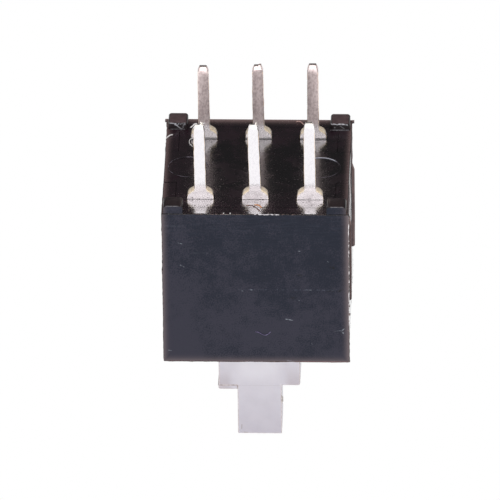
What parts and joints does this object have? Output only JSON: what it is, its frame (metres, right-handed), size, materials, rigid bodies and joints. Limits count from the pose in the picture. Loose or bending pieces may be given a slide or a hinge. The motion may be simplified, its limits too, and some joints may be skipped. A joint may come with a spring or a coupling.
{
  "type": "latching push button switch",
  "caption": "Square through-hole latching push switch with a black body, silver pins in two rows and a white T-shaped plunger for a push-on cap.",
  "frame": {"origin": "middle of the terminal pattern, on the board surface that the feet stand on", "axes": "+Z towards the button, +X along the rows of terminals away from the latch side, +Y from the front row to the back row"},
  "size_m": [0.0087, 0.0086, 0.0176],
  "materials": {
    "cover_plastic": "black moulded, lightly scuffed",
    "base_plastic": "black moulded, polished underside",
    "terminal_metal": "silver plated strip with bare brass at the cut edges",
    "plunger_plastic": "natural white moulded, slightly translucent",
    "contact_metal": "spring bronze with a silver flash",
    "spring_steel": "drawn wire",
    "leaf_steel": "rolled strip"
  },
  "bodies": {
    "housing": {"cover": "cover_plastic", "base": "base_plastic", "terminal_common_front": "terminal_metal", "terminal_closed_front": "terminal_metal", "terminal_open_front": "terminal_metal", "terminal_common_back": "terminal_metal", "terminal_closed_back": "terminal_metal", "terminal_open_back": "terminal_metal", "latch_leaf": "leaf_steel", "return_spring": "spring_steel"},
    "button": {"plunger": "plunger_plastic", "contact_front": "contact_metal", "contact_back": "contact_metal"},
    "latch": {"latch_pin": "spring_steel"}
  },
  "joints": [
    {"name": "button_press", "type": "slide", "parent": "housing", "child": "button", "axis": [0, 0, -1], "range_m": [0, 0.0025], "stiffness_N_per_m": 500, "deforming": ["return_spring"]},
    {"name": "latch_swing", "type": "hinge", "parent": "housing", "child": "latch", "pos_m": [-0.0024, 0, 0.0009], "axis": [1, 0, 0], "range_deg": [0, 20]}
  ],
  "couplings": [
    {"joint": "latch_swing", "follows": "button_press", "rad_per_m": 139.6}
  ]
}
